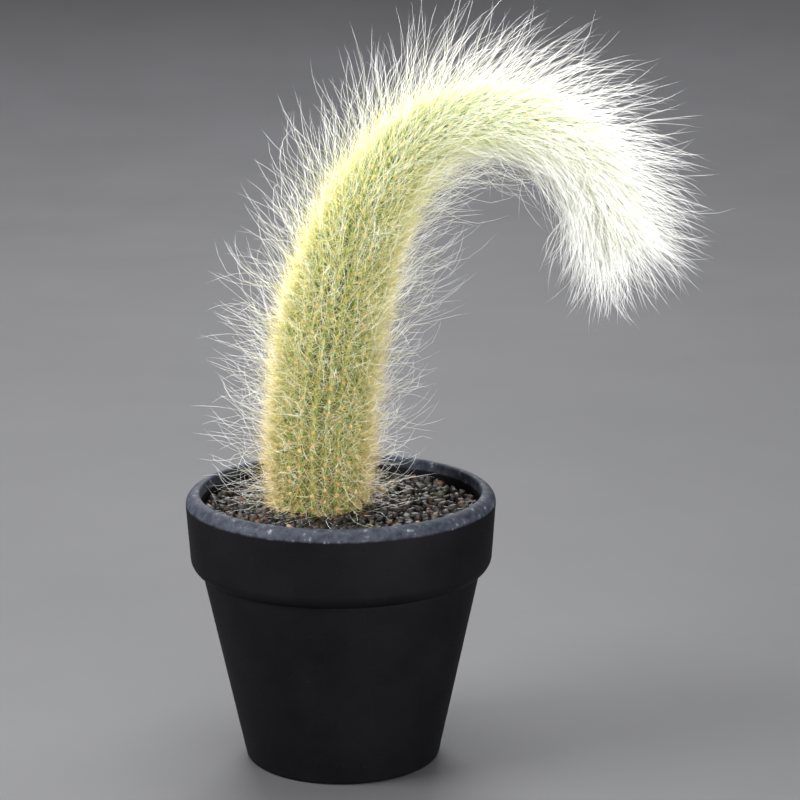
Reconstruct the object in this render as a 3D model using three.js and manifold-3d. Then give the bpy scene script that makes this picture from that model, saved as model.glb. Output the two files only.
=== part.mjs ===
// A monkey tail cactus in a small clay pot: the pot, its potting mix, the gravel on top and the plant.
// Units are millimetres, +Z is up, and the plant arches towards +X.

import * as THREE from 'three';
import { mergeVertices } from 'three/addons/utils/BufferGeometryUtils.js';
import Module from 'manifold-3d';

const wasm = await Module();
wasm.setup();

// ---------- driving dimensions ----------

const pot = {
  height: 80.3,
  rimRadius: 45,
  rimBottomRadius: 43.9,
  rimBottomHeight: 61.4,
  shoulder: 4.6, // how far the rim's lower edge turns in
  rimInnerRadius: 40.8,
  lipOuter: 3.4, // how far the lip's edges are rounded
  lipInner: 0.8,
  bodyTopRadius: 40.4,
  bodyTopHeight: 56.2,
  baseRadius: 28.6,
  baseEdge: 1.5,
  rimInnerHeight: 65, // where the inside of the rim becomes upright
  innerTopRadius: 36.6,
  innerBaseRadius: 25.4,
  floorThickness: 6,
  drainRadius: 6,
  sides: 48,
};

const seatGap = 0.3; // clearance between pieces that touch
const mergeBy = 0.002; // how far a joined surface may move where needless corners are taken away

const fill = {
  mixHeight: 70, // top of the potting mix
  gravelHeight: 73.7, // top of the gravel bed, without its stones
  sides: 24,
};

const granule = {
  places: 190, // on a spiral over the whole bed, those under the stem are left out
  radius: 2.3,
  sizeSpread: 0.2,
  flatness: 0.75,
  mound: 0.5, // how much higher the stones stand in the middle than at the pot's wall
};

const stem = {
  footDepth: 22, // how far the foot reaches under the gravel
  ribs: 22,
  ribHeight: 0.9,
  rows: 34, // rings of faces from foot to tip
  endCrowding: 0.5, // how much closer the rings lie at both ends
  footRadius: 5.5,
  baseRadius: 13.2,
  archRadius: 7.5,
  tipRadius: 6.5,
  slimFrom: 0.25, // where it starts to slim, as a share of its length
  slimTo: 0.7,
  ribStart: 10, // over how much of its length the ribs rise at the foot
  ribEnd: 8, // and fade at the tip
};

// The middle line of the stem over the gravel, chosen by hand, from the soil to the tip.
const spinePoints = [
  [-6.3, 4, 74],
  [-6.0, 4, 94],
  [-5.0, 4, 107],
  [-1.9, 3.9, 129.5],
  [3.7, 3.7, 150],
  [12.1, 3.4, 168.3],
  [24.3, 3, 182],
  [40.7, 2.5, 187.8],
  [57.3, 2, 185],
  [70.5, 1.3, 174.4],
  [78.8, 0.6, 155.3],
];

const hair = {
  pitch: 5.6, // distance between roots along a rib
  rootRadius: 0.3,
  rootDepth: 1.4,
  baseLength: 24,
  archLength: 34,
  tipLength: 25.5,
  shortLength: 6, // of the spine that every third root bears
  lowestRoot: 7.5, // distance of the first roots along the stem
  flank: 0.25, // how far beside a rib's crest the roots lie, in ribs
  crowdedRadius: 6, // where the stem is slimmer than this, every second rib stays bare
  baseLean: 0.45, // angle towards the tip, in radians, from the surface's normal
  archLean: 0.85,
  innerLean: 0.3, // how much more the hairs on the inside of the arch lean
  spread: 0.5,
};

// ---------- helpers ----------

// A seeded generator, so that every build places the repeats alike.
function makeRandom(seed) {
  let state = seed;
  return () => {
    state = (state * 1664525 + 1013904223) % 4294967296;
    return state / 4294967296;
  };
}

function toSolid(geometry) {
  const bare = geometry.clone();
  bare.deleteAttribute('normal');
  bare.deleteAttribute('uv');
  const merged = mergeVertices(bare, 1e-4);
  return new wasm.Manifold(new wasm.Mesh({
    numProp: 3,
    vertProperties: new Float32Array(merged.attributes.position.array),
    triVerts: new Uint32Array(merged.index.array),
  }));
}

function toGeometry(solid) {
  const { vertProperties, triVerts } = solid.getMesh();
  const geometry = new THREE.BufferGeometry();
  geometry.setAttribute('position', new THREE.BufferAttribute(vertProperties, 3));
  geometry.setIndex(new THREE.BufferAttribute(triVerts, 1));
  geometry.computeVertexNormals();
  return geometry;
}

// A profile of [radius, height] pairs turned round the vertical axis.
function turned(profile, sides) {
  const outline = profile.map(([radius, height]) => new THREE.Vector2(radius, height));
  return new THREE.LatheGeometry(outline, sides).rotateX(Math.PI / 2);
}

// Points of an arc of a profile, from one angle to the other, in degrees.
function arc(centreRadius, centreHeight, radius, from, to, steps) {
  return Array.from({ length: steps + 1 }, (_, i) => {
    const angle = THREE.MathUtils.degToRad(from + (to - from) * i / steps);
    return [centreRadius + radius * Math.cos(angle), centreHeight + radius * Math.sin(angle)];
  });
}

function lerp(a, b, t) {
  return a + (b - a) * THREE.MathUtils.clamp(t, 0, 1);
}

// ---------- the pot ----------

function potInnerRadius(height) {
  const rise = pot.rimInnerHeight - pot.bodyTopHeight;
  const t = (height - pot.floorThickness) / (pot.bodyTopHeight - pot.floorThickness);
  return height < pot.bodyTopHeight
    ? lerp(pot.innerBaseRadius, pot.innerTopRadius, t)
    : lerp(pot.innerTopRadius, pot.rimInnerRadius, (height - pot.bodyTopHeight) / rise);
}

function makePot() {
  const profile = [
    [pot.drainRadius, pot.floorThickness],
    [pot.drainRadius, 0],
    ...arc(pot.baseRadius - pot.baseEdge, pot.baseEdge, pot.baseEdge, -90, 0, 2),
    [pot.bodyTopRadius, pot.bodyTopHeight],
    ...arc(pot.rimBottomRadius - pot.shoulder, pot.rimBottomHeight, pot.shoulder, -76, 0, 4),
    ...arc(pot.rimRadius - pot.lipOuter, pot.height - pot.lipOuter, pot.lipOuter, 0, 90, 4),
    ...arc(pot.rimInnerRadius + pot.lipInner, pot.height - pot.lipInner, pot.lipInner, 120, 180, 2),
    [pot.rimInnerRadius, pot.rimInnerHeight],
    [pot.innerTopRadius, pot.bodyTopHeight],
    [pot.innerBaseRadius, pot.floorThickness],
    [pot.drainRadius, pot.floorThickness],
  ];
  return turned(profile, pot.sides);
}

// ---------- the stem's middle line ----------

const spine = new THREE.CatmullRomCurve3(
  spinePoints.map((point) => new THREE.Vector3(...point)), false, 'centripetal');
const spineLength = spine.getLength();
const stemEnd = spineLength + stem.tipRadius;
const [footX, footY, footZ] = spinePoints[0];

// Position and axes of the stem at a distance along it, which is negative in the ground.
function stemFrame(distance) {
  const place = THREE.MathUtils.clamp(distance / spineLength, 0, 1);
  const along = distance < 0 ? new THREE.Vector3(0, 0, 1) : spine.getTangentAt(place);
  const across = new THREE.Vector3(0, 1, 0);
  across.addScaledVector(along, -across.dot(along)).normalize();
  const outer = new THREE.Vector3().crossVectors(along, across);
  const origin = spine.getPointAt(place).addScaledVector(along, distance - place * spineLength);
  return { origin, along, across, outer };
}

// How much a round end narrows the stem at a distance from that end.
function roundEnd(fromEnd, reach) {
  const t = THREE.MathUtils.clamp(1 - fromEnd / reach, 0, 1);
  return Math.sqrt(1 - t * t);
}

// Radius over the ribs: a foot that thins into the ground, a slow taper above it and a round tip.
function stemRadius(distance) {
  const place = distance / spineLength;
  const slimming = THREE.MathUtils.smoothstep(place, stem.slimFrom, stem.slimTo);
  const grown = lerp(stem.baseRadius, stem.archRadius, slimming);
  const shaft = distance < 0
    ? lerp(stem.footRadius, stem.baseRadius, 1 + distance / stem.footDepth)
    : lerp(grown, stem.tipRadius, (place - stem.slimTo) / (1 - stem.slimTo));
  const footEnd = roundEnd(distance + stem.footDepth, stem.footRadius);
  return shaft * footEnd * roundEnd(stemEnd - distance, 1.5 * stem.tipRadius);
}

// The ribs fade out at the foot and at the tip.
function ribDepth(distance) {
  const rise = THREE.MathUtils.smoothstep(distance, 0, stem.ribStart);
  const fade = THREE.MathUtils.smoothstep(distance, spineLength - stem.ribEnd, stemEnd);
  return stem.ribHeight * rise * (1 - fade);
}

// Direction away from the middle line, at an angle from the outside of the arch.
function radialAt(frame, angle) {
  return new THREE.Vector3()
    .addScaledVector(frame.outer, Math.cos(angle))
    .addScaledVector(frame.across, Math.sin(angle));
}

// ---------- the cactus ----------

// A sphere's grid of vertices bent along the middle line, with a crest and a valley for each rib.
function makeStem() {
  const around = stem.ribs * 2;
  const grid = new THREE.SphereGeometry(1, around, stem.rows);
  const { position, uv } = grid.attributes;
  for (let i = 0; i < position.count; i += 1) {
    const row = 1 - uv.getY(i);
    const eased = row - stem.endCrowding * Math.sin(2 * Math.PI * row) / (2 * Math.PI);
    const distance = eased * (stem.footDepth + stemEnd) - stem.footDepth;
    const column = Math.round(uv.getX(i) * around) % around;
    const valley = column % 2 === 1 ? ribDepth(distance) : 0;
    const radius = Math.max(stemRadius(distance) - valley, 0);
    const frame = stemFrame(distance);
    const point = frame.origin.addScaledVector(radialAt(frame, 2 * Math.PI * column / around), radius);
    position.setXYZ(i, point.x, point.y, point.z);
  }
  return toSolid(grid);
}

// A slim three-sided needle from its root to its end.
function makeNeedle(root, end) {
  const reach = new THREE.Vector3().subVectors(end, root);
  const length = reach.length();
  const cone = new THREE.ConeGeometry(hair.rootRadius, length, 3).translate(0, length / 2, 0);
  const turn = new THREE.Quaternion().setFromUnitVectors(THREE.Object3D.DEFAULT_UP, reach.normalize());
  cone.applyQuaternion(turn);
  return toSolid(cone.translate(root.x, root.y, root.z));
}

function hairLength(place) {
  return place < stem.slimTo
    ? lerp(hair.baseLength, hair.archLength, place / stem.slimTo)
    : lerp(hair.archLength, hair.tipLength, (place - stem.slimTo) / (1 - stem.slimTo));
}

// One hair or spine. Hairs lean towards the tip, more so on the arch and most on its inside.
function growHair(distance, angle, isShort, random) {
  const frame = stemFrame(distance);
  const place = distance / spineLength;
  const radial = radialAt(frame, angle);
  const slope = stemRadius(distance + 0.5) - stemRadius(distance - 0.5);
  const normal = radial.clone().addScaledVector(frame.along, -slope).normalize();
  const lean = lerp(hair.baseLean, hair.archLean, place * 1.6) + hair.innerLean * (1 - Math.cos(angle)) / 2;
  const jitter = new THREE.Vector3(random() - 0.5, random() - 0.5, random() - 0.5);
  const direction = normal.clone().multiplyScalar(Math.cos(lean))
    .addScaledVector(frame.along, Math.sin(lean))
    .addScaledVector(jitter, hair.spread)
    .normalize();
  const length = isShort ? hair.shortLength : hairLength(place) * lerp(0.7, 1, random());
  const surface = frame.origin.addScaledVector(radial, stemRadius(distance));
  const root = surface.clone().addScaledVector(normal, -hair.rootDepth);
  return makeNeedle(root, surface.addScaledVector(direction, length));
}

function makeCactus() {
  const random = makeRandom(7);
  const pieces = [makeStem()];
  for (let rib = 0; rib < stem.ribs; rib += 1) {
    const angle = 2 * Math.PI * (rib + hair.flank) / stem.ribs;
    const first = hair.lowestRoot + (rib % 2) * hair.pitch / 2;
    const count = Math.floor((stemEnd - 1 - first) / hair.pitch);
    for (let i = 0; i <= count; i += 1) {
      const distance = first + i * hair.pitch;
      const crowded = stemRadius(distance) < hair.crowdedRadius && rib % 2 === 1;
      if (!crowded) pieces.push(growHair(distance, angle, (i + rib) % 3 === 0, random));
    }
  }
  return toGeometry(wasm.Manifold.union(pieces).simplify(mergeBy));
}

// ---------- the pot and what it holds ----------

// A turned cutter for the stem's plain hole, wider than the foot by the clearance.
function makeStemHole(sides) {
  const clearance = 1.2 * seatGap;
  const bottom = footZ - stem.footDepth - seatGap;
  const outline = [
    [0, bottom],
    [stem.footRadius + clearance, bottom],
    [stem.baseRadius + clearance, footZ],
    [stem.baseRadius + clearance, pot.height],
    [0, pot.height],
  ];
  return toSolid(turned(outline, sides).translate(footX, footY, 0));
}

function makePottingMix() {
  const floor = pot.floorThickness + seatGap;
  const outline = [
    [0, floor],
    [potInnerRadius(floor) - seatGap, floor],
    [potInnerRadius(pot.bodyTopHeight) - seatGap, pot.bodyTopHeight],
    [pot.rimInnerRadius - seatGap, pot.rimInnerHeight],
    [pot.rimInnerRadius - seatGap, fill.mixHeight],
    [0, fill.mixHeight],
  ];
  return toGeometry(toSolid(turned(outline, fill.sides)).subtract(makeStemHole(fill.sides)));
}

// One stone: an octahedron, stretched and turned at random.
function makeGranule(x, y, z, size, random) {
  const stretch = [1, 1, granule.flatness].map((scale) => scale * size * lerp(0.85, 1, random()));
  const stone = new THREE.OctahedronGeometry(1).scale(...stretch);
  stone.rotateX(random() * 0.8).rotateY(random() * 0.8).rotateZ(random() * Math.PI);
  return toSolid(stone.translate(x, y, z));
}

// The bed covers the mix, and its stones lie on a spiral, like seeds in a flower's head.
function makeGravel() {
  const random = makeRandom(3);
  const bedRadius = pot.rimInnerRadius - seatGap;
  const underside = fill.mixHeight + seatGap;
  const outline = [
    [0, underside],
    [bedRadius, underside],
    [bedRadius, fill.gravelHeight],
    [0, fill.gravelHeight],
  ];
  const pieces = [toSolid(turned(outline, pot.sides))];
  const goldenAngle = Math.PI * (3 - Math.sqrt(5));
  for (let i = 0; i < granule.places; i += 1) {
    const size = granule.radius * lerp(1 - granule.sizeSpread, 1 + granule.sizeSpread, random());
    const radius = Math.min(bedRadius * Math.sqrt((i + 0.5) / granule.places), bedRadius - size - 0.1);
    const place = new THREE.Vector2(radius, 0).rotateAround(new THREE.Vector2(), i * goldenAngle);
    const fromStem = Math.hypot(place.x - footX, place.y - footY);
    const height = fill.gravelHeight + granule.mound * (1 - radius / bedRadius);
    if (fromStem > stem.baseRadius) pieces.push(makeGranule(place.x, place.y, height, size, random));
  }
  return toGeometry(wasm.Manifold.union(pieces).subtract(makeStemHole(pot.sides)).simplify(mergeBy));
}

// ---------- the finished object ----------

function named(name, geometry, color, roughness) {
  const material = new THREE.MeshStandardMaterial({ color, roughness, metalness: 0 });
  const mesh = new THREE.Mesh(geometry, material);
  mesh.name = name;
  return mesh;
}

const plantInPot = new THREE.Group();
plantInPot.add(
  named('pot', makePot(), 0x222327, 0.6),
  named('potting_mix', makePottingMix(), 0x2b2019, 0.95),
  named('gravel', makeGravel(), 0x3a3735, 0.85),
  named('cactus', makeCactus(), 0xc9cf86, 0.6),
);

// The frame's origin is on the ground, under the middle of the bounding box.
const middle = new THREE.Box3().setFromObject(plantInPot).getCenter(new THREE.Vector3());
plantInPot.position.set(-middle.x, -middle.y, 0);

export default plantInPot;
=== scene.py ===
import math

import bmesh
import bpy
import numpy as np
from mathutils import Matrix, Vector, noise


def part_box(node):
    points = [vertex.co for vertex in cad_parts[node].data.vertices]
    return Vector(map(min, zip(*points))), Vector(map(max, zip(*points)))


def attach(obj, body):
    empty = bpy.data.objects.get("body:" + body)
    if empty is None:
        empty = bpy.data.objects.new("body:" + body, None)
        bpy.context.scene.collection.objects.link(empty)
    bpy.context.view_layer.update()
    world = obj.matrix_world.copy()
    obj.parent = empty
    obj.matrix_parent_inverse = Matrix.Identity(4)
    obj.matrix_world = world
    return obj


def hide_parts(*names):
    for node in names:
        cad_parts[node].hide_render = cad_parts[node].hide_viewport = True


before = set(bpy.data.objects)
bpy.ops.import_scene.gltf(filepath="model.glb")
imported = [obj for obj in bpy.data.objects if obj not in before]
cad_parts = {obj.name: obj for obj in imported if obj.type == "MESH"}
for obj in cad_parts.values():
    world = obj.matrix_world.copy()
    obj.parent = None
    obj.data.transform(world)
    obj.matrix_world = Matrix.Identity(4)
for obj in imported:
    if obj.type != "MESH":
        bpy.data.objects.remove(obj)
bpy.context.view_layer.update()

mm = 0.001
root = "root"
seatGap = 0.3 * mm  # clearance between pieces that touch
goldenAngle = math.pi * (3 - math.sqrt(5))

potLow, potHigh = (Vector(corner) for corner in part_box("pot"))
potAxis = Vector(((potLow.x + potHigh.x) / 2, (potLow.y + potHigh.y) / 2, 0))
potHeight = potHigh.z
gravelLow = Vector(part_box("gravel")[0])

stem = {
    "footDepth": 22 * mm,
    "ribs": 22,
    "ribHeight": 0.9 * mm,
    "ribFade": (10 * mm, 8 * mm),  # how far the ribs take to grow at the foot and to end at the tip
    "footRadius": 5.5 * mm,
    "baseRadius": 13.2 * mm,
    "archRadius": 7.5 * mm,
    "tipRadius": 6.5 * mm,
    "slimFrom": 0.25,
    "slimTo": 0.7,
    "waist": (0.92, 16 * mm),  # how slim the stem is at the ground, and the height where that ends
    "areolePitch": 3.8 * mm,
    "firstAreole": 0.8 * mm,
    "tubercleHeight": 0.35 * mm,
    "lastAreole": 0.4 * mm,  # how near the tip's end the last ones stand
    "areoleRoom": (1.5 * mm, 0.8 * mm),  # rib widths below which every second and fourth rib has some
    "endCrowding": 0.25,  # how much closer the rings of faces lie at both ends
    "meshAround": 132,
    "meshAlong": 220,
}

# middle line of the stem from the pot's axis, as in the solid model
spinePoints = [
    (-6.3, 4, 74), (-6.0, 4, 94), (-5.0, 4, 107), (-1.9, 3.9, 129.5),
    (3.7, 3.7, 150), (12.1, 3.4, 168.3), (24.3, 3, 182), (40.7, 2.5, 187.8),
    (57.3, 2, 185), (70.5, 1.3, 174.4), (78.8, 0.6, 155.3),
]


def smoothThrough(points, steps):  # centripetal Catmull-Rom curve through the points
    points = np.array(points, dtype=float)
    ends = [2 * points[0] - points[1], *points, 2 * points[-1] - points[-2]]
    samples = []
    for a, b, c, d in zip(ends, ends[1:], ends[2:], ends[3:]):
        ab, bc, cd = (math.sqrt(np.linalg.norm(q - p)) for p, q in ((a, b), (b, c), (c, d)))
        leaving = ((b - a) / ab - (c - a) / (ab + bc) + (c - b) / bc) * bc
        arriving = ((c - b) / bc - (d - b) / (bc + cd) + (d - c) / cd) * bc
        for t in np.linspace(0, 1, steps, endpoint=False):
            samples.append(
                (2 * t**3 - 3 * t**2 + 1) * b + (t**3 - 2 * t**2 + t) * leaving
                + (3 * t**2 - 2 * t**3) * c + (t**3 - t**2) * arriving)
    return np.array([*samples, points[-1]])


def unit(vectors):
    return vectors / np.linalg.norm(vectors, axis=-1, keepdims=True)


def smoothStep(value, low, high):
    t = np.clip((value - low) / (high - low), 0, 1)
    return t * t * (3 - 2 * t)


def mixed(a, b, t):
    return a + (b - a) * np.clip(t, 0, 1)


spineLine = smoothThrough(spinePoints, 40) * mm + np.array(potAxis)
spineArc = np.concatenate([[0], np.cumsum(np.linalg.norm(np.diff(spineLine, axis=0), axis=1))])
spineTangent = unit(np.gradient(spineLine, spineArc, axis=0))
spineLength = spineArc[-1]
stemEnd = spineLength + stem["tipRadius"]


def stemFrame(distance):  # middle, direction to the tip, sideways and outwards on the arch
    held = np.clip(distance, 0, spineLength)
    origin = np.stack([np.interp(held, spineArc, spineLine[:, k]) for k in range(3)], axis=-1)
    along = unit(np.stack([np.interp(held, spineArc, spineTangent[:, k]) for k in range(3)], axis=-1))
    along = np.where((distance < 0)[:, None], (0.0, 0.0, 1.0), along)
    origin = origin + along * (distance - held)[:, None]
    across = unit(np.array([0.0, 1.0, 0.0]) - along * along[:, 1:2])
    return origin, along, across, np.cross(along, across)


def roundEnd(fromEnd, reach):
    t = np.clip(1 - fromEnd / reach, 0, 1)
    return np.sqrt(1 - t * t)


def stemRadius(distance):
    place = distance / spineLength
    slimming = smoothStep(place, stem["slimFrom"], stem["slimTo"])
    grown = mixed(stem["baseRadius"], stem["archRadius"], slimming)
    shaft = np.where(
        distance < 0,
        mixed(stem["footRadius"], stem["baseRadius"], 1 + distance / stem["footDepth"]),
        mixed(grown, stem["tipRadius"], (place - stem["slimTo"]) / (1 - stem["slimTo"])))
    slimmest, waistEnd = stem["waist"]
    waist = mixed(slimmest, 1, smoothStep(distance, 0, waistEnd))
    foot = roundEnd(distance + stem["footDepth"], stem["footRadius"])
    return shaft * waist * foot * roundEnd(stemEnd - distance, 1.5 * stem["tipRadius"])


def outwardAt(distance, angle):  # surface point, normal and direction to the tip
    origin, along, across, outer = stemFrame(distance)
    radial = outer * np.cos(angle)[:, None] + across * np.sin(angle)[:, None]
    step = 0.5 * mm
    slope = (stemRadius(distance + step) - stemRadius(distance - step)) / (2 * step)
    normal = unit(radial - along * slope[:, None])
    return origin + radial * stemRadius(distance)[:, None], normal, along


def areolePlaces():  # distance and angle of each areole, in rows that alternate from rib to rib
    distances, angles = [], []
    for rib in range(stem["ribs"]):
        first = stem["firstAreole"] + (rib % 2) * stem["areolePitch"] / 2
        rows = np.arange(first, stemEnd - stem["lastAreole"], stem["areolePitch"])
        room = 2 * math.pi * stemRadius(rows) / stem["ribs"]  # the ribs run out near the tip
        wide, narrow = stem["areoleRoom"]
        every = np.where(room > wide, 1, np.where(room > narrow, 2, 4))
        rows = rows[rib % every == 0]
        distances.extend(rows)
        angles.extend([2 * math.pi * rib / stem["ribs"]] * len(rows))
    return np.array(distances), np.array(angles)


areoleDistance, areoleAngle = areolePlaces()
print(f"places: stem {spineLength / mm:.1f} mm long, {len(areoleDistance)} areoles")


def finishPiece(name, mesh, material, node, smooth=True):
    piece = bpy.data.objects.new(name, mesh)
    bpy.context.scene.collection.objects.link(piece)
    mesh.materials.clear()
    mesh.materials.append(material)
    mesh.polygons.foreach_set("use_smooth", [smooth] * len(mesh.polygons))
    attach(piece, root)
    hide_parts(node)


def meshFrom(shape, name):
    mesh = bpy.data.meshes.new(name)
    shape.to_mesh(mesh)
    shape.free()
    return mesh


def arcPoints(centreRadius, centreHeight, radius, start, stop, steps):
    angles = np.radians(np.linspace(start, stop, steps + 1))
    return [(centreRadius + radius * math.cos(a), centreHeight + radius * math.sin(a)) for a in angles]


def spunShape(profile, centre, steps):  # a closed profile of radius and height turned into a solid
    shape = bmesh.new()
    verts = [shape.verts.new((centre.x + radius, centre.y, height)) for radius, height in profile]
    for index, vert in enumerate(verts):
        shape.edges.new((vert, verts[(index + 1) % len(verts)]))
    bmesh.ops.spin(
        shape, geom=shape.verts[:] + shape.edges[:], cent=centre, axis=(0, 0, 1),
        angle=2 * math.pi, steps=steps, use_merge=True)
    bmesh.ops.remove_doubles(shape, verts=shape.verts[:], dist=0.001 * mm)
    bmesh.ops.recalc_face_normals(shape, faces=shape.faces[:])
    return shape


class NodeBuilder:  # short calls for a material's nodes
    def __init__(self, name):
        self.material = bpy.data.materials.new(name)
        self.material.use_nodes = True
        self.tree = self.material.node_tree
        self.shader = self.tree.nodes["Principled BSDF"]

    def add(self, kind, **inputs):
        node = self.tree.nodes.new(kind)
        for key, value in inputs.items():
            self.feed(node.inputs[int(key[1:]) if key[1:].isdigit() else key.replace("_", " ")], value)
        return node

    def feed(self, socket, value):
        if isinstance(value, bpy.types.NodeSocket):
            self.tree.links.new(value, socket)
        else:
            socket.default_value = value

    def objectCoords(self):
        return self.add("ShaderNodeTexCoord").outputs["Object"]

    def noiseOf(self, vector, scale, detail=3.0, roughness=0.5):
        return self.add("ShaderNodeTexNoise", Vector=vector, Scale=scale, Detail=detail, Roughness=roughness)

    def ramp(self, factor, stops, mode="LINEAR"):
        node = self.add("ShaderNodeValToRGB", Fac=factor)
        node.color_ramp.interpolation = mode
        elements = node.color_ramp.elements
        while len(elements) < len(stops):
            elements.new(0.5)
        for element, (position, colour) in zip(elements, stops):
            element.position = position
            element.color = (*colour, 1)
        return node.outputs["Color"]

    def blend(self, factor, a, b, mode="MIX"):
        node = self.tree.nodes.new("ShaderNodeMix")
        node.data_type = "RGBA"
        node.blend_type = mode
        self.feed(node.inputs[0], factor)
        self.feed(node.inputs[6], a)
        self.feed(node.inputs[7], b)
        return node.outputs[2]

    def between(self, value, low, high):  # a 0 to 1 value brought to a range
        return self.add("ShaderNodeMapRange", Value=value, To_Min=low, To_Max=high).outputs[0]

    def bump(self, height, distance, strength=1.0, normal=None, invert=False):
        node = self.add("ShaderNodeBump", Height=height, Distance=distance, Strength=strength)
        node.invert = invert
        if normal:
            self.feed(node.inputs["Normal"], normal)
        return node.outputs[0]

    def set(self, **inputs):
        for key, value in inputs.items():
            self.feed(self.shader.inputs[key.replace("_", " ")], value)
        return self.material


pot = {
    "rimRadius": 45 * mm,
    "rimBottomRadius": 43.9 * mm,
    "rimBottomHeight": 61.4 * mm,
    "shoulder": 4.6 * mm,
    "rimInnerRadius": 40.8 * mm,
    "rimInnerHeight": 65 * mm,
    "lipOuter": 3.4 * mm,
    "lipInner": 0.8 * mm,
    "bodyTopRadius": 40.4 * mm,
    "bodyTopHeight": 56.2 * mm,
    "baseRadius": 28.6 * mm,
    "baseEdge": 1.5 * mm,
    "innerTopRadius": 36.6 * mm,
    "innerBaseRadius": 25.4 * mm,
    "floorThickness": 6 * mm,
    "drainRadius": 6 * mm,
    "drainEdge": 0.8 * mm,  # how far the drain hole's edges are cut back
    "steps": 128,
    "coat": (0.0016, 0.0016, 0.0021),
    "dustyCoat": (0.0034, 0.0034, 0.0044),
    # painted highlight: the lip's top gets a lighter, bluish coat for the overhead light falling on it
    "lipSheenAndWear": (0.013, 0.0148, 0.021),
    "wornCoat": (0.03, 0.034, 0.045),
    "fleck": (0.13, 0.135, 0.145),
    "speck": (0.012, 0.012, 0.012),
    "lipZone": (77 * mm, 77.6 * mm),
    "pit": (0.003, 0.003, 0.0035),
}


def coatedClay():
    m = NodeBuilder("coatedClay")
    place = m.objectCoords()
    cloud = m.noiseOf(place, 55.0, 4.0, 0.6).outputs["Fac"]
    grain = m.noiseOf(place, 900.0, 3.0, 0.65).outputs["Fac"]
    grit = m.add("ShaderNodeTexVoronoi", Vector=place, Scale=620.0).outputs["Distance"]
    pits = m.ramp(grit, [(0.0, (1, 1, 1)), (0.13, (0.6, 0.6, 0.6)), (0.2, (0, 0, 0))])
    sparse = m.ramp(m.noiseOf(place, 260.0, 2.0).outputs["Fac"], [(0.52, (0, 0, 0)), (0.62, (1, 1, 1))])
    pitted = m.blend(1.0, pits, sparse, "MULTIPLY")
    coat = m.ramp(cloud, [(0.3, pot["coat"]), (0.72, pot["dustyCoat"])])
    height = m.add("ShaderNodeSeparateXYZ", Vector=place).outputs["Z"]
    low, high = pot["lipZone"]
    worn = m.noiseOf(place, 420.0, 5.0, 0.7).outputs["Fac"]
    edge = m.add("ShaderNodeMath", _0=height, _1=m.between(worn, -0.4 * mm, 0.4 * mm)).outputs[0]
    onLip = m.add("ShaderNodeMapRange", Value=edge, From_Min=low, From_Max=high).outputs[0]
    # painted highlight on the lip's top, with the coat's real wear and flecks over it
    lipSheenAndWear = m.ramp(worn, [(0.38, pot["lipSheenAndWear"]), (0.6, pot["wornCoat"]), (0.7, pot["fleck"])])
    coat = m.blend(onLip, coat, lipSheenAndWear)
    speck = m.add("ShaderNodeTexVoronoi", Vector=place, Scale=420.0).outputs["Distance"]
    specks = m.ramp(speck, [(0.03, pot["speck"]), (0.08, (0, 0, 0))])
    someSpecks = m.ramp(m.noiseOf(place, 120.0, 2.0).outputs["Fac"], [(0.5, (0, 0, 0)), (0.6, (1, 1, 1))])
    coat = m.blend(someSpecks, coat, m.blend(1.0, coat, specks, "ADD"))
    colour = m.blend(pitted, coat, (*pot["pit"], 1))
    relief = m.bump(pitted, 0.12 * mm, invert=True)
    relief = m.bump(grain, 0.05 * mm, 0.6, relief)
    return m.set(
        Base_Color=colour, Roughness=m.between(grain, 0.5, 0.7), Normal=relief,
        Specular_IOR_Level=0.06)


def makePot():
    shoulder, lipOuter, lipInner = pot["shoulder"], pot["lipOuter"], pot["lipInner"]
    drain, edge = pot["drainRadius"], pot["drainEdge"]
    profile = [
        (drain, pot["floorThickness"] - edge),
        (drain, edge),
        (drain + edge, 0),
        *arcPoints(pot["baseRadius"] - pot["baseEdge"], pot["baseEdge"], pot["baseEdge"], -90, -8, 5),
        (pot["bodyTopRadius"], pot["bodyTopHeight"]),
        *arcPoints(pot["rimBottomRadius"] - shoulder, pot["rimBottomHeight"], shoulder, -76, -2, 12),
        *arcPoints(pot["rimRadius"] - lipOuter, potHeight - lipOuter, lipOuter, 0, 90, 14),
        *arcPoints(pot["rimInnerRadius"] + lipInner, potHeight - lipInner, lipInner, 102, 180, 6),
        (pot["rimInnerRadius"], pot["rimInnerHeight"]),
        (pot["innerTopRadius"], pot["bodyTopHeight"]),
        (pot["innerBaseRadius"], pot["floorThickness"]),
        (drain + edge, pot["floorThickness"]),
    ]
    shape = spunShape(profile, potAxis, pot["steps"])
    sharp = [seam for seam in shape.edges if seam.calc_face_angle(0) > math.radians(40)]
    for seam in sharp:
        seam.smooth = False
    finishPiece("clay_pot", meshFrom(shape, "clay_pot"), coatedClay(), "pot")


gravel = {
    "places": 820,  # in each of two layers
    "smallest": 0.95 * mm,
    "largest": 1.6 * mm,
    "bedHeight": 72.8 * mm,
    "layerHeights": [73.0 * mm, 74.3 * mm],
    "unevenness": (-0.5 * mm, 0.6 * mm),
    "scatter": 0.3 * mm,
    "underStem": 1.8 * mm,  # stones further under the stem than this are left out
    "templates": 12,
    "squareness": 0.5,  # how much of the cube's shape a stone keeps
    "lumps": (0.45, 1.3),  # height and closeness of the lumps on it
    "longer": (1, 1.5),
    "flatter": (0.55, 0.85),
    "paintedShadeZone": (73.6 * mm, 75.4 * mm),  # painted shade: stones get darker down the gaps
    "tones": [
        (0.0, (0.0065, 0.0055, 0.005)), (0.28, (0.013, 0.011, 0.009)), (0.52, (0.022, 0.0135, 0.0085)),
        (0.66, (0.0075, 0.005, 0.0036)), (0.76, (0.034, 0.031, 0.025)), (0.87, (0.06, 0.03, 0.016)),
        (0.93, (0.028, 0.031, 0.016)), (0.975, (0.2, 0.14, 0.08)),
    ],
    "earth": (0.003, 0.0025, 0.002),
    "paleEarth": (0.012, 0.01, 0.008),
}


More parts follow.
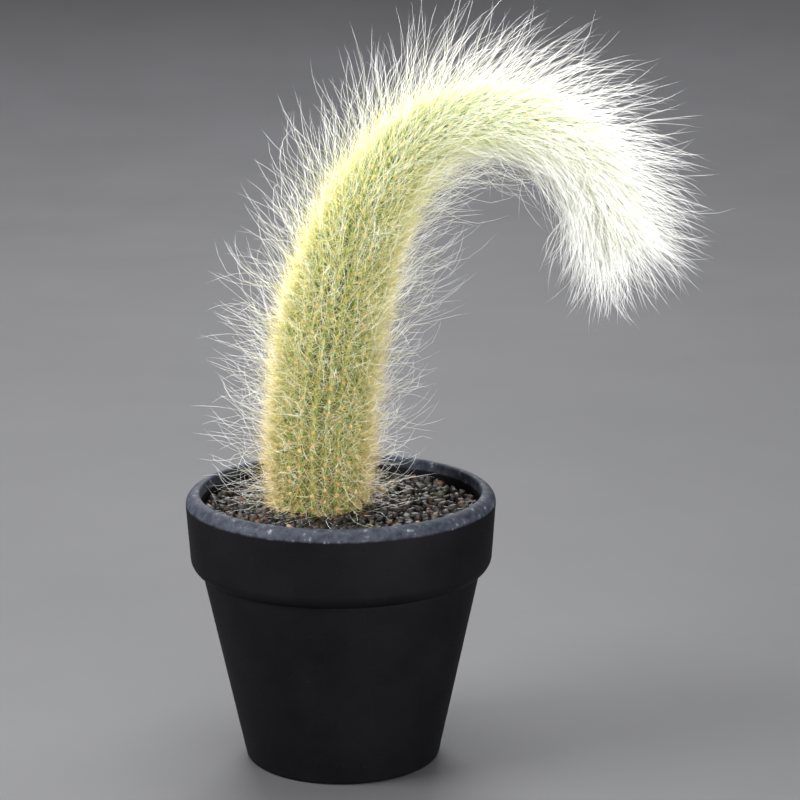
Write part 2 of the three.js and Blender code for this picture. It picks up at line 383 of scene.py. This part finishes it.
def stoneSurface():
    m = NodeBuilder("stoneSurface")
    place = m.objectCoords()
    tone = m.add("ShaderNodeAttribute")
    tone.attribute_name = "stoneTone"
    own = m.ramp(tone.outputs["Fac"], gravel["tones"], "CONSTANT")
    mottle = m.noiseOf(place, 1600.0, 4.0, 0.7).outputs["Fac"]
    shade = m.ramp(mottle, [(0.25, (0.45, 0.45, 0.45)), (0.75, (1.5, 1.45, 1.4))])
    colour = m.blend(1.0, own, shade, "MULTIPLY")
    height = m.add("ShaderNodeSeparateXYZ", Vector=place).outputs["Z"]
    # painted shade: stones lower down in the gaps are darkened
    low, high = gravel["paintedShadeZone"]
    paintedShade = m.add("ShaderNodeMapRange", Value=height, From_Min=low, From_Max=high, To_Min=0.15).outputs[0]
    colour = m.blend(1.0, colour, paintedShade, "MULTIPLY")
    rough = m.noiseOf(place, 3200.0, 3.0, 0.6).outputs["Fac"]
    return m.set(
        Base_Color=colour, Roughness=m.between(mottle, 0.35, 0.6), Normal=m.bump(rough, 0.05 * mm),
        Specular_IOR_Level=0.2)


def stoneTemplates(random):  # rounded cubes pushed about by noise, of a radius near 1
    templates = []
    lumps, closeness = gravel["lumps"]
    for index in range(gravel["templates"]):
        shape = bmesh.new()
        bmesh.ops.create_cube(shape, size=1.5)
        bmesh.ops.subdivide_edges(shape, edges=shape.edges[:], cuts=1, use_grid_fill=True)
        seat = Vector(random.uniform(-50, 50, 3))
        for vert in shape.verts:
            ball = vert.co.normalized()
            lump = lumps * noise.noise(ball * closeness + seat)
            vert.co = ball.lerp(vert.co, gravel["squareness"]) * (1 + lump)
        bmesh.ops.triangulate(shape, faces=shape.faces[:])
        templates.append(meshFrom(shape, f"stone{index}"))
        templates[-1].attributes.new("stoneTone", "FLOAT", "POINT")
    return templates


def makeGravel():
    random = np.random.default_rng(11)
    bedRadius = pot["rimInnerRadius"] - seatGap
    holeRadius = stem["baseRadius"] * stem["waist"][0] + seatGap
    foot = Vector(spineLine[0])
    templates = stoneTemplates(random)
    pile = bmesh.new()
    for index in range(2 * gravel["places"]):
        layer, order = divmod(index, gravel["places"])
        size = random.uniform(gravel["smallest"], gravel["largest"])
        radius = bedRadius * math.sqrt((order + 0.5) / gravel["places"])
        radius = min(radius + random.normal(0, gravel["scatter"]), bedRadius - size)
        turn = (order + 0.5 * layer) * goldenAngle + random.normal(0, 0.01)
        spot = potAxis + Vector((radius * math.cos(turn), radius * math.sin(turn), 0))
        away = (spot - foot).xy
        if away.length < holeRadius - gravel["underStem"]:
            continue
        if away.length < holeRadius + size:
            spot.xy = foot.xy + away.normalized() * (holeRadius + size)
        spot.z = gravel["layerHeights"][layer] + random.uniform(*gravel["unevenness"])
        turned = Matrix.Rotation(random.uniform(0, 6.28), 4, Vector(random.normal(size=3)))
        longer, flatter = random.uniform(*gravel["longer"]), random.uniform(*gravel["flatter"])
        scales = Matrix.Diagonal((size * longer, size, size * flatter, 1))
        stone = templates[index % len(templates)].copy()
        stone.transform(Matrix.Translation(spot) @ turned @ scales)
        stone.attributes["stoneTone"].data.foreach_set("value", [random.random()] * len(stone.vertices))
        pile.from_mesh(stone)
        bpy.data.meshes.remove(stone)
    for template in templates:
        bpy.data.meshes.remove(template)
    stones = meshFrom(pile, "gravel_stones")
    finishPiece("gravel_stones", stones, stoneSurface(), "gravel")
    makeBed(bedRadius)


def makeBed(bedRadius):  # a flat disc of dark grit under the stones
    shape = bmesh.new()
    depth = gravel["bedHeight"] - gravelLow.z
    bmesh.ops.create_cone(
        shape, cap_ends=True, segments=64, radius1=bedRadius, radius2=bedRadius, depth=depth,
        matrix=Matrix.Translation(potAxis + Vector((0, 0, gravelLow.z + depth / 2))))
    bed = meshFrom(shape, "gravel_bed")
    finishPiece("gravel_bed", bed, earthSurface("gritBed"), "gravel", False)


def earthSurface(name):
    m = NodeBuilder(name)
    place = m.objectCoords()
    crumbs = m.noiseOf(place, 700.0, 5.0, 0.7).outputs["Fac"]
    colour = m.ramp(crumbs, [(0.3, gravel["earth"]), (0.75, gravel["paleEarth"])])
    return m.set(Base_Color=colour, Roughness=0.95, Normal=m.bump(crumbs, 0.6 * mm))


def paintMix():  # the mix keeps its solid from the CAD model
    materials = bpy.data.objects["potting_mix"].data.materials
    materials.clear()
    materials.append(earthSurface("pottingMix"))


skin = {
    # painted shade: the skin is darker down in the rib valleys
    "valley": (0.012, 0.036, 0.002),
    "crest": (0.065, 0.19, 0.006),
    "youngCrest": (0.18, 0.26, 0.03),
}


def stemSkin():
    m = NodeBuilder("stemSkin")
    place = m.objectCoords()
    relief = m.add("ShaderNodeAttribute")
    relief.attribute_name = "relief"
    age = m.add("ShaderNodeAttribute")
    age.attribute_name = "towardsTip"
    cloud = m.noiseOf(place, 300.0, 4.0).outputs["Fac"]
    crest = m.blend(age.outputs["Fac"], (*skin["crest"], 1), (*skin["youngCrest"], 1))
    # painted shade: the skin darkens from the rib crests down into the valleys
    colour = m.blend(relief.outputs["Fac"], (*skin["valley"], 1), crest)
    shade = m.ramp(cloud, [(0.3, (0.8, 0.8, 0.75)), (0.7, (1.15, 1.15, 1.1))])
    colour = m.blend(1.0, colour, shade, "MULTIPLY")
    fine = m.noiseOf(place, 2500.0, 3.0).outputs["Fac"]
    return m.set(
        Base_Color=colour, Roughness=m.between(cloud, 0.4, 0.6), Normal=m.bump(fine, 0.05 * mm),
        Subsurface_Weight=0.15, Subsurface_Radius=(0.004, 0.006, 0.001), Subsurface_Scale=0.5)


def makeStem():  # a ball's grid of faces drawn out along the middle line
    shape = bmesh.new()
    bmesh.ops.create_uvsphere(
        shape, u_segments=stem["meshAround"], v_segments=stem["meshAlong"], radius=1)
    mesh = meshFrom(shape, "cactus_stem")
    ball = np.empty(len(mesh.vertices) * 3)
    mesh.vertices.foreach_get("co", ball)
    ball = ball.reshape(-1, 3)
    row = np.arccos(np.clip(-ball[:, 2], -1, 1)) / math.pi
    eased = row - stem["endCrowding"] * np.sin(2 * math.pi * row) / (2 * math.pi)
    distance = eased * (stem["footDepth"] + stemEnd) - stem["footDepth"]
    angle = -np.arctan2(ball[:, 1], ball[:, 0])
    ribTurn = angle * stem["ribs"] / (2 * math.pi)
    rib = np.round(ribTurn)
    grow, end = stem["ribFade"]
    fade = smoothStep(distance, 0, grow) * (1 - smoothStep(distance, spineLength - end, stemEnd))
    fromCrest = np.abs(ribTurn - rib) * 2
    first = stem["firstAreole"] + (rib % 2) * stem["areolePitch"] / 2
    wave = 0.5 + 0.5 * np.cos(2 * math.pi * (distance - first) / stem["areolePitch"])
    tubercle = wave * (1 - smoothStep(fromCrest, 0.1, 0.9))
    depth = stem["ribHeight"] * smoothStep(fromCrest, 0, 1) + stem["tubercleHeight"] * (1 - tubercle)
    origin, along, across, outer = stemFrame(distance)
    radial = outer * np.cos(angle)[:, None] + across * np.sin(angle)[:, None]
    radius = np.maximum(stemRadius(distance) - depth * fade, 0)
    mesh.vertices.foreach_set("co", (origin + radial * radius[:, None]).ravel())
    height = 1 - depth / (stem["ribHeight"] + stem["tubercleHeight"])
    mesh.attributes.new("relief", "FLOAT", "POINT").data.foreach_set("value", height)
    towards = np.clip(distance / stemEnd, 0, 1)
    mesh.attributes.new("towardsTip", "FLOAT", "POINT").data.foreach_set("value", towards)
    finishPiece("cactus_stem", mesh, stemSkin(), "cactus")


areole = {
    "radius": 0.72 * mm,
    "height": 0.66 * mm,
    "grown": (0.6, 1.1),  # range of their sizes
    "stretch": 1.15,  # length along the rib for each width
    "felt": (0.66, 0.3, 0.09),
    "paleFelt": (0.85, 0.6, 0.28),
}


def feltSurface():
    m = NodeBuilder("areoleFelt")
    place = m.objectCoords()
    patch = m.noiseOf(place, 260.0, 2.0).outputs["Fac"]
    wool = m.noiseOf(place, 5000.0, 3.0, 0.7).outputs["Fac"]
    colour = m.ramp(patch, [(0.35, areole["felt"]), (0.65, areole["paleFelt"])])
    shade = m.ramp(wool, [(0.3, (0.7, 0.7, 0.7)), (0.7, (1.2, 1.2, 1.2))])
    return m.set(
        Base_Color=m.blend(1.0, colour, shade, "MULTIPLY"), Roughness=0.9, Normal=m.bump(wool, 0.1 * mm))


def makeAreoles():  # one small felt cushion on each tubercle
    spots, normals, alongs = outwardAt(areoleDistance, areoleAngle)
    shape = bmesh.new()
    bmesh.ops.create_icosphere(shape, subdivisions=1, radius=1)
    template = meshFrom(shape, "areole")
    pads = bmesh.new()
    random = np.random.default_rng(41)
    for spot, normal, along in zip(spots, normals, alongs):
        across = np.cross(normal, along)
        turn = Matrix((across, np.cross(normal, across), normal)).transposed().to_4x4()
        grown = random.uniform(*areole["grown"])
        width = areole["radius"] * grown
        size = Matrix.Diagonal((width, width * areole["stretch"], areole["height"] * grown, 1))
        pad = template.copy()
        pad.transform(Matrix.Translation(spot) @ turn @ size)
        pads.from_mesh(pad)
        bpy.data.meshes.remove(pad)
    bpy.data.meshes.remove(template)
    bmesh.ops.recalc_face_normals(pads, faces=pads.faces[:])
    finishPiece("cactus_areoles", meshFrom(pads, "cactus_areoles"), feltSurface(), "cactus")


rootDepth = 0.6 * mm  # how far a strand's end is sunk in the skin
shadeBlur = 0.03  # how much the colour's place differs from strand to strand
strandParts = {"lower": (-1, 0.34), "middle": (0.34, 0.66), "upper": (0.66, 2)}  # shares of the stem
clearance = {
    "overGravel": 0.9 * mm,
    "overRim": 0.3 * mm,
    "beforeRim": (4 * mm, 0.5 * mm),  # from where to where inside the pot a strand rises to the rim
    "pastRim": 2 * mm,
}

spines = {
    "places": [0, 0.08, 0.45, 0.7, 1],  # shares of the stem's length that the next three lists are for
    "counts": [48, 46, 46, 30, 26],
    "lengths": [6 * mm, 7.8 * mm, 8.4 * mm, 9.5 * mm, 10.5 * mm],
    "sweeps": [-0.3, 0.05, 0.2, 1.1, 1.4],  # how strongly they are combed towards the tip
    "shortest": 0.45,  # share of the full length
    "tilt": (0.15, 1.3),  # least angle from the skin's normal and how far it spreads, in radians
    "bend": 0.3,  # how far their ends turn to the tip
    "curl": 0.08,
    "points": 3,
    "taper": [0, 1, 0],
    "rootRadius": 0.07 * mm,
    "thicknesses": (0.8, 1.1),
    "scatter": 0.55 * mm,
    "glow": 0.25,  # share of the light that goes through them
    "fade": (0.5, 0.85),
    "dullest": (0.5, 0.52, 0.46),
    "rootColours": [(0.0, (0.16, 0.13, 0.02)), (0.08, (0.15, 0.24, 0.018)), (0.5, (0.25, 0.44, 0.024)),
                    (0.7, (0.58, 0.74, 0.18)), (1.0, (0.97, 0.97, 0.8))],
    "tipColours": [(0.0, (0.74, 0.54, 0.23)), (0.08, (0.86, 0.66, 0.31)), (0.5, (0.96, 0.83, 0.43)),
                   (0.7, (0.98, 0.98, 0.76)), (1.0, (0.98, 0.98, 0.97))],
}

hairs = {
    "places": [0, 0.4, 0.62, 0.85, 1],  # shares of the stem's length that the next two lists are for
    "counts": [4.8, 5.2, 6.5, 9, 12.5],
    "lengths": [26 * mm, 35 * mm, 37 * mm, 35 * mm, 27 * mm],
    "shortest": 0.3,  # share of the full length
    "points": 8,
    "taper": [0, 1, 1, 1, 0.95, 0.85, 0.75, 0],
    "rootRadius": 0.033 * mm,
    "thicknesses": (0.8, 1.15),
    "crownThickness": 1.2,
    "glow": 0.3,  # share of the light that goes through them
    "fade": (0.25, 0.78),
    "dullest": (0.72, 0.72, 0.7),
    "strays": 0.03,  # share of the hairs that are longer and curl a lot
    "strayExtra": 5 * mm,
    "strayCurl": 0.7,
    "curls": (0.48, 0.2),  # at the foot and near the tip, as the two spreads are
    "leanSpread": (0.45, 0.28),
    "fanSpread": (0.5, 0.32),
    "scatter": 0.3 * mm,
    "rootColours": [(0.0, (0.46, 0.38, 0.09)), (0.5, (0.6, 0.62, 0.12)), (0.8, (0.98, 0.98, 0.88))],
    "tipColours": [(0.0, (0.95, 0.95, 0.94)), (0.5, (0.97, 0.97, 0.96)), (1.0, (0.98, 0.98, 0.97))],
    "leanPlaces": [0, 0.1, 0.67],
    "leans": [0.1, 0.5, 0.8],  # angle from the skin's normal to the tip's side, in radians
    "innerLean": 0.35,  # what the arch's inner side adds to that
    "bendPlaces": [0, 0.7, 0.88, 1],
    "bends": [0, 0.4, 0.3, 0.1],  # how far their ends turn to the tip
}


def strandSurface(name, look):  # colours run along each strand, and from the foot to the tip
    m = NodeBuilder(name)
    bakeMap = m.add("ShaderNodeUVMap")
    bakeMap.uv_map = "OFBake"
    parts = m.add("ShaderNodeSeparateXYZ", Vector=bakeMap.outputs[0])
    low = m.ramp(parts.outputs["Y"], look["rootColours"])
    high = m.ramp(parts.outputs["Y"], look["tipColours"])
    rootEnd, tipStart = look["fade"]
    along = m.ramp(parts.outputs["X"], [(rootEnd, (0, 0, 0)), (tipStart, (1, 1, 1))])
    colour = m.blend(along, low, high)
    eachStrand = m.add("ShaderNodeMapping", Vector=bakeMap.outputs[0], Scale=(3, 500, 1))
    streaks = m.noiseOf(eachStrand.outputs[0], 1.0, 1.0).outputs["Fac"]
    shade = m.ramp(streaks, [(0.35, look["dullest"]), (0.6, (1.12, 1.12, 1.12))])
    colour = m.blend(1.0, colour, shade, "MULTIPLY")
    m.set(Base_Color=colour, Roughness=0.42, Specular_IOR_Level=0.4)
    through = m.add("ShaderNodeBsdfTranslucent", Color=colour)
    both = m.add("ShaderNodeMixShader", Fac=look["glow"], _1=m.shader.outputs[0], _2=through.outputs[0])
    m.feed(m.tree.nodes["Material Output"].inputs["Surface"], both.outputs[0])
    return m.material


def clearOfPot(paths):  # strands lie on the gravel and the rim, and don't go through them
    fromAxis = np.linalg.norm(paths[..., :2] - np.array(potAxis.xy), axis=-1)
    inner, outer = pot["rimInnerRadius"], pot["rimRadius"]
    rise, risen = clearance["beforeRim"]
    overRim = smoothStep(fromAxis, inner - rise, inner - risen)
    onGravel = gravel["layerHeights"][1] + clearance["overGravel"]
    lowest = mixed(onGravel, potHeight + clearance["overRim"], overRim)
    lowest = np.where(fromAxis < outer + clearance["pastRim"], lowest, 0)
    paths[..., 2] = np.maximum(paths[..., 2], lowest)
    return paths


def strandPaths(start, first, turn, length, points, random, curl):
    # start, first direction, the direction that a strand bends to by its end, and random curls
    wander = random.normal(size=(len(start), 3)) * curl[:, None]
    twist = random.normal(size=(len(start), 3)) * curl[:, None]
    paths = [start - unit(first) * rootDepth, start]
    for t in np.linspace(0, 1, points - 2):
        direction = first + turn * t + wander * t + twist * math.sin(4.5 * t)
        paths.append(paths[-1] + unit(direction) * (length / (points - 2))[:, None])
    return clearOfPot(np.stack(paths, axis=1))


def strandMesh(name, paths, radii, shade):  # thin tubes of three sides, pointed at both ends
    outline = bpy.data.curves.new("strandOutline", "CURVE")
    corners = outline.splines.new("POLY")
    corners.points.add(2)
    for index, corner in enumerate(corners.points):
        turn = -2 * math.pi * index / 3
        corner.co = (math.cos(turn), math.sin(turn), 0, 1)
    corners.use_cyclic_u = True
    outlineObject = bpy.data.objects.new("strandOutline", outline)
    curve = bpy.data.curves.new(name, "CURVE")
    curve.dimensions = "3D"
    curve.bevel_mode = "OBJECT"
    curve.bevel_object = outlineObject
    count, points = paths.shape[:2]
    places = np.ones((count, points, 4))
    places[..., :3] = paths
    for place, radius in zip(places, radii):
        strand = curve.splines.new("POLY")
        strand.points.add(points - 1)
        strand.points.foreach_set("co", place.ravel())
        strand.points.foreach_set("radius", radius)
    curveObject = bpy.data.objects.new(name, curve)
    for helper in (outlineObject, curveObject):
        bpy.context.scene.collection.objects.link(helper)
    ready = curveObject.evaluated_get(bpy.context.evaluated_depsgraph_get())
    mesh = bpy.data.meshes.new_from_object(ready)
    for helper in (outlineObject, curveObject):
        bpy.data.objects.remove(helper)
    return weldStrands(mesh, name, shade, 3 * points)


def weldStrands(mesh, name, shade, vertsEach):  # sets the strands' UV map and closes their ends
    uvLayer = mesh.uv_layers[0]
    uvLayer.name = "OFBake"
    uv = np.empty(len(mesh.loops) * 2)
    uvLayer.data.foreach_get("uv", uv)
    uv = uv.reshape(-1, 2)
    vertOfLoop = np.empty(len(mesh.loops), dtype=int)
    mesh.loops.foreach_get("vertex_index", vertOfLoop)
    uv[:, 1] = shade[vertOfLoop // vertsEach] + (uv[:, 1] - 0.5) * 0.006
    uvLayer.data.foreach_set("uv", uv.ravel())
    welded = bmesh.new()
    welded.from_mesh(mesh)
    bpy.data.meshes.remove(mesh)
    bmesh.ops.remove_doubles(welded, verts=welded.verts[:], dist=0.0001 * mm)
    return meshFrom(welded, name)


def repeatedRoots(look, random):  # every areole many times over, each root a little beside the last
    counts = np.interp(areoleDistance / spineLength, look["places"], look["counts"])
    whole = np.floor(counts + random.random(len(areoleDistance))).astype(int)
    distance = np.repeat(areoleDistance, whole)
    angle = np.repeat(areoleAngle, whole)
    distance = distance + random.normal(0, look["scatter"], len(distance))
    sideways = random.normal(0, look["scatter"], len(distance)) / stemRadius(distance).clip(2 * mm)
    return distance, angle + sideways


def placeStrands(kind, material, distance, paths, radii, shade):  # three pieces along the stem
    for part, (low, high) in strandParts.items():
        name = f"cactus_{kind}_{part}"
        chosen = (distance >= low * spineLength) & (distance < high * spineLength)
        mesh = strandMesh(name, paths[chosen], radii[chosen], shade[chosen])
        finishPiece(name, mesh, material, "cactus")
        print(f"{name}: {chosen.sum()} strands")


def makeSpines():  # a star of short spines on each areole
    random = np.random.default_rng(21)
    distance, angle = repeatedRoots(spines, random)
    spot, normal, along = outwardAt(distance, angle)
    across = np.cross(normal, along)
    count = len(distance)
    around = random.uniform(0, 2 * math.pi, count)
    least, spread = spines["tilt"]
    tilt = least + spread * random.random(count) ** 0.9
    flat = along * np.cos(around)[:, None] + across * np.sin(around)[:, None]
    place = distance / spineLength
    sweep = np.interp(place, spines["places"], spines["sweeps"])
    first = normal * np.cos(tilt)[:, None] + flat * np.sin(tilt)[:, None] + along * sweep[:, None]
    length = np.interp(place, spines["places"], spines["lengths"])
    length = length * random.uniform(spines["shortest"], 1, count)
    turn = along * spines["bend"]
    curl = np.full(count, spines["curl"])
    paths = strandPaths(spot, first, turn, length, spines["points"], random, curl)
    thickness = random.uniform(*spines["thicknesses"], (count, 1))
    radii = np.array(spines["taper"]) * spines["rootRadius"] * thickness
    shade = shadeOf(distance, random)
    placeStrands("spines", strandSurface("spineStraw", spines), distance, paths, radii, shade)


def shadeOf(distance, random):  # height along the stem for the colours, blurred from strand to strand
    return np.clip(distance / stemEnd + random.normal(0, shadeBlur, len(distance)), 0.01, 0.99)


def makeHairs():  # long hairs: loose and curled below, swept forward and dense towards the tip
    random = np.random.default_rng(31)
    distance, angle = repeatedRoots(hairs, random)
    spot, normal, along = outwardAt(distance, angle)
    across = np.cross(normal, along)
    count = len(distance)
    place = distance / spineLength
    inner = (1 - np.cos(angle)) / 2
    lean = np.interp(place, hairs["leanPlaces"], hairs["leans"]) + hairs["innerLean"] * inner
    lean = lean + random.normal(0, mixed(*hairs["leanSpread"], place * 1.4), count)
    fan = random.normal(0, mixed(*hairs["fanSpread"], place * 1.4), count)
    first = normal * np.cos(lean)[:, None] + along * np.sin(lean)[:, None] + across * fan[:, None]
    turn = along * np.interp(place, hairs["bendPlaces"], hairs["bends"])[:, None]
    length = np.interp(place, hairs["places"], hairs["lengths"])
    length = length * mixed(hairs["shortest"], 1, random.random(count) ** 1.2)
    stray = random.random(count) < hairs["strays"]
    length = np.where(stray, length + hairs["strayExtra"], length)
    curl = np.where(stray, hairs["strayCurl"], mixed(*hairs["curls"], place * 1.2))
    paths = strandPaths(spot, unit(first), turn, length, hairs["points"], random, curl)
    thickness = random.uniform(*hairs["thicknesses"], count) * mixed(1, hairs["crownThickness"], place * 1.2)
    radii = np.array(hairs["taper"]) * hairs["rootRadius"] * thickness[:, None]
    shade = shadeOf(distance, random)
    placeStrands("hairs", strandSurface("hairWhite", hairs), distance, paths, radii, shade)


studio = {
    "floorColour": (0.049, 0.049, 0.0525),
    "paintedFarLight": (0.4, 1.8, 2.4),  # painted light: where the floor starts and ends to get paler, and how much
    "sweep": (1.0, 1.4, 3.0),  # where the floor starts to rise, how tightly, and the wall's height
    "sky": ((0.75, 0.78, 0.82, 1), 0.45),
    "aim": (0, 0, 0.14),  # the lamps turn to this point
    "lamps": {  # place, width and height, and power
        "top": ((0, 0.1, 0.75), (0.6, 0.5), 9.5),
        "right": ((0.6, -0.65, 0.2), (0.5, 0.3), 11),
        "left": ((-0.75, -0.25, 0.5), (0.5, 0.4), 20),
        "front": ((0.2, -1.1, 0.45), (0.8, 0.5), 11.5),
        "back": ((-0.1, 1.2, 0.8), (0.9, 0.5), 16),
    },
    "pitch": 13.32,
    "roll": -0.22,
    "focal": 2724.4 / 800 * 36,
    "eye": (17.27 * mm, -763.47 * mm, 287.69 * mm),
}


def studioFloor():
    m = NodeBuilder("studioFloor")
    place = m.objectCoords()
    cloud = m.noiseOf(place, 9.0, 4.0, 0.6).outputs["Fac"]
    near = m.ramp(cloud, [(0.3, (0.93, 0.93, 0.93)), (0.7, (1.07, 1.07, 1.07))])
    near = m.blend(1.0, near, (*studio["floorColour"], 1), "MULTIPLY")
    # painted light: the floor and wall get paler far from the plant, as a lit backdrop
    start, end, gain = studio["paintedFarLight"]
    distance = m.add("ShaderNodeVectorMath", _0=place)
    distance.operation = "LENGTH"
    far = m.add("ShaderNodeMapRange", Value=distance.outputs["Value"], From_Min=start, From_Max=end)
    paintedBrighter = m.blend(1.0, near, (gain - 1, gain - 1, gain - 1, 1), "MULTIPLY")
    colour = m.blend(far.outputs[0], near, paintedBrighter, "ADD")
    return m.set(Base_Color=colour, Roughness=0.75)


def makeFloor():  # a round floor that curves up into a wall far away on every side
    shape = bmesh.new()
    flatEnd, bend, top = studio["sweep"]
    profile = [(0, 0), *arcPoints(flatEnd, bend, bend, -90, 0, 15), (flatEnd + bend, top)]
    verts = [shape.verts.new((radius, 0, height)) for radius, height in profile]
    edges = [shape.edges.new(pair) for pair in zip(verts, verts[1:])]
    bmesh.ops.spin(
        shape, geom=verts + edges, cent=(0, 0, 0), axis=(0, 0, 1), angle=2 * math.pi, steps=96,
        use_merge=True)
    bmesh.ops.remove_doubles(shape, verts=shape.verts[:], dist=0.01 * mm)
    shape.normal_update()
    middle = Vector((0, 0, top))
    turned = [f for f in shape.faces if f.normal.dot(f.calc_center_median() - middle) > 0]
    bmesh.ops.reverse_faces(shape, faces=turned)
    mesh = meshFrom(shape, "studio_floor")
    mesh.materials.append(studioFloor())
    floor = bpy.data.objects.new("studio_floor", mesh)
    bpy.context.scene.collection.objects.link(floor)
    for face in mesh.polygons:
        face.use_smooth = True


def addSoftbox(name, place, size, power):
    lamp = bpy.data.lights.new(name, "AREA")
    lamp.shape = "RECTANGLE"
    lamp.size, lamp.size_y = size
    lamp.energy = power
    holder = bpy.data.objects.new(name, lamp)
    holder.location = place
    aim = Vector(studio["aim"]) - Vector(place)
    holder.rotation_euler = aim.to_track_quat("-Z", "Y").to_euler()
    bpy.context.scene.collection.objects.link(holder)


def setStudio():
    scene = bpy.context.scene
    world = bpy.data.worlds.new("studio_world")
    world.use_nodes = True
    colour, strength = studio["sky"]
    world.node_tree.nodes["Background"].inputs["Color"].default_value = colour
    world.node_tree.nodes["Background"].inputs["Strength"].default_value = strength
    scene.world = world
    for name, (place, size, power) in studio["lamps"].items():
        addSoftbox(name, place, size, power)
    camera = bpy.data.cameras.new("camera")
    camera.lens = studio["focal"]
    camera.sensor_width = 36
    camera.clip_end = 20
    holder = bpy.data.objects.new("camera", camera)
    tilt = Matrix.Rotation(math.radians(90 - studio["pitch"]), 4, "X")
    roll = Matrix.Rotation(math.radians(studio["roll"]), 4, "Z")
    holder.matrix_world = Matrix.Translation(potAxis + Vector(studio["eye"])) @ tilt @ roll
    scene.collection.objects.link(holder)
    scene.camera = holder
    scene.view_settings.view_transform = "Standard"


setStudio()
makeFloor()
print("studio ready")
makePot()
print("pot ready")
makeGravel()
paintMix()
print("gravel and mix ready")
makeStem()
makeAreoles()
print("stem ready")
makeSpines()
makeHairs()
